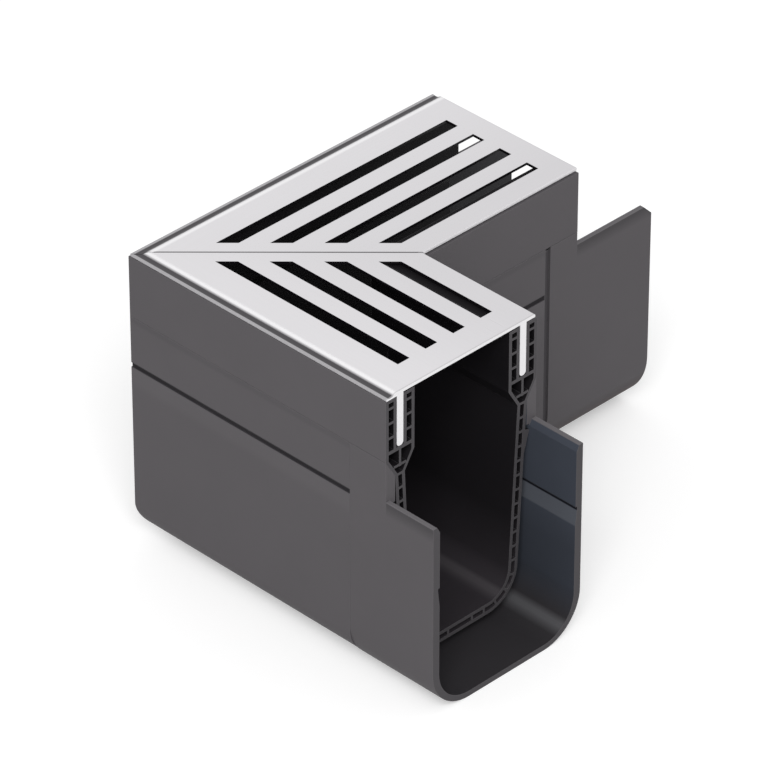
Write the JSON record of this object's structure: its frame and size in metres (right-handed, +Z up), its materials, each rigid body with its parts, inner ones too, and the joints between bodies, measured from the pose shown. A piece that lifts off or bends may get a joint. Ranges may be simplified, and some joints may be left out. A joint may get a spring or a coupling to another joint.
{
  "type": "drain channel corner",
  "caption": "Mitred corner of a slim hollow-wall drainage channel, with push-on end sleeves and slotted grates standing in the forked wall tops.",
  "frame": {"origin": "crossing of the two legs' centrelines in the walking surface of the grates", "axes": "+X along the short leg towards its open end, +Y along the long leg towards its open end, +Z up"},
  "size_m": [0.1327, 0.1675, 0.1088],
  "materials": {
    "channel": "matte extruded plastic",
    "shell": "matte moulded plastic",
    "sleeve": "smooth moulded plastic",
    "grate": "satin anodised"
  },
  "bodies": {
    "root": {"near_channel": "channel", "far_channel": "channel", "corner_shell": "shell", "near_sleeve": "sleeve", "far_sleeve": "sleeve", "near_grate": "grate", "far_grate": "grate"}
  },
  "joints": []
}
